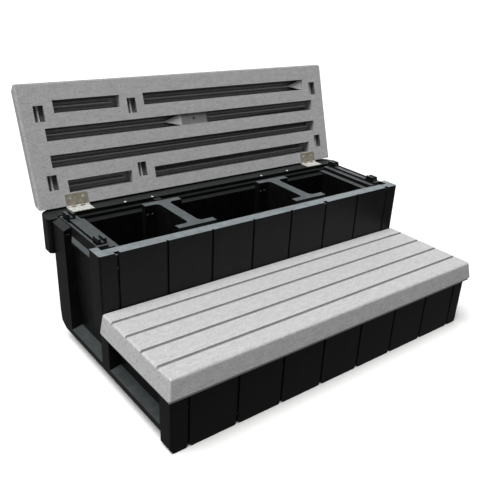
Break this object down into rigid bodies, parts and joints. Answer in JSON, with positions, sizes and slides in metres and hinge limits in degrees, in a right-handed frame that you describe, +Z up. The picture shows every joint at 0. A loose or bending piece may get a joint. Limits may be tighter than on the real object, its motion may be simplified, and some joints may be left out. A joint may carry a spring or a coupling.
{
  "type": "spa steps",
  "caption": "Low stepped bench for a hot tub: two wide grooved treads on moulded panels, the upper tread a hinged lid over a divided storage box.",
  "frame": {"origin": "on the floor at the middle of the outline of the steps with the lid open as pictured", "axes": "+X to the right seen from the front and along the treads, +Y to the rear towards the tub, +Z up"},
  "size_m": [0.92, 0.6956, 0.5787],
  "materials": {
    "grey_board": "matte, faintly speckled",
    "black_panel": "satin",
    "lid_leaf_steel": "brushed",
    "bright_steel": "zinc plated"
  },
  "bodies": {
    "steps": {"left_side_panel": "black_panel", "right_side_panel": "black_panel", "lower_front_panel": "black_panel", "upper_front_panel": "black_panel", "rear_panel": "black_panel", "rear_top_rail": "black_panel", "lower_tread": "grey_board", "left_divider": "black_panel", "right_divider": "black_panel", "storage_floor": "black_panel", "left_tread_brace": "black_panel", "right_tread_brace": "black_panel", "left_hinge_body_leaf": "bright_steel", "left_hinge_pin": "bright_steel", "right_hinge_body_leaf": "bright_steel", "right_hinge_pin": "bright_steel", "hinge_body_screws": "bright_steel", "divider_screws": "bright_steel", "rail_screws": "bright_steel", "upper_panel_screws": "bright_steel", "lower_panel_screws": "bright_steel"},
    "lid": {"storage_lid": "grey_board", "left_hinge_lid_leaf": "lid_leaf_steel", "right_hinge_lid_leaf": "lid_leaf_steel", "hinge_lid_screws": "bright_steel"}
  },
  "joints": [
    {"name": "lid_hinge", "type": "hinge", "parent": "steps", "child": "lid", "pos_m": [0, 0.21901, 0.30845], "axis": [1, 0, 0], "range_deg": [0, 107]}
  ]
}
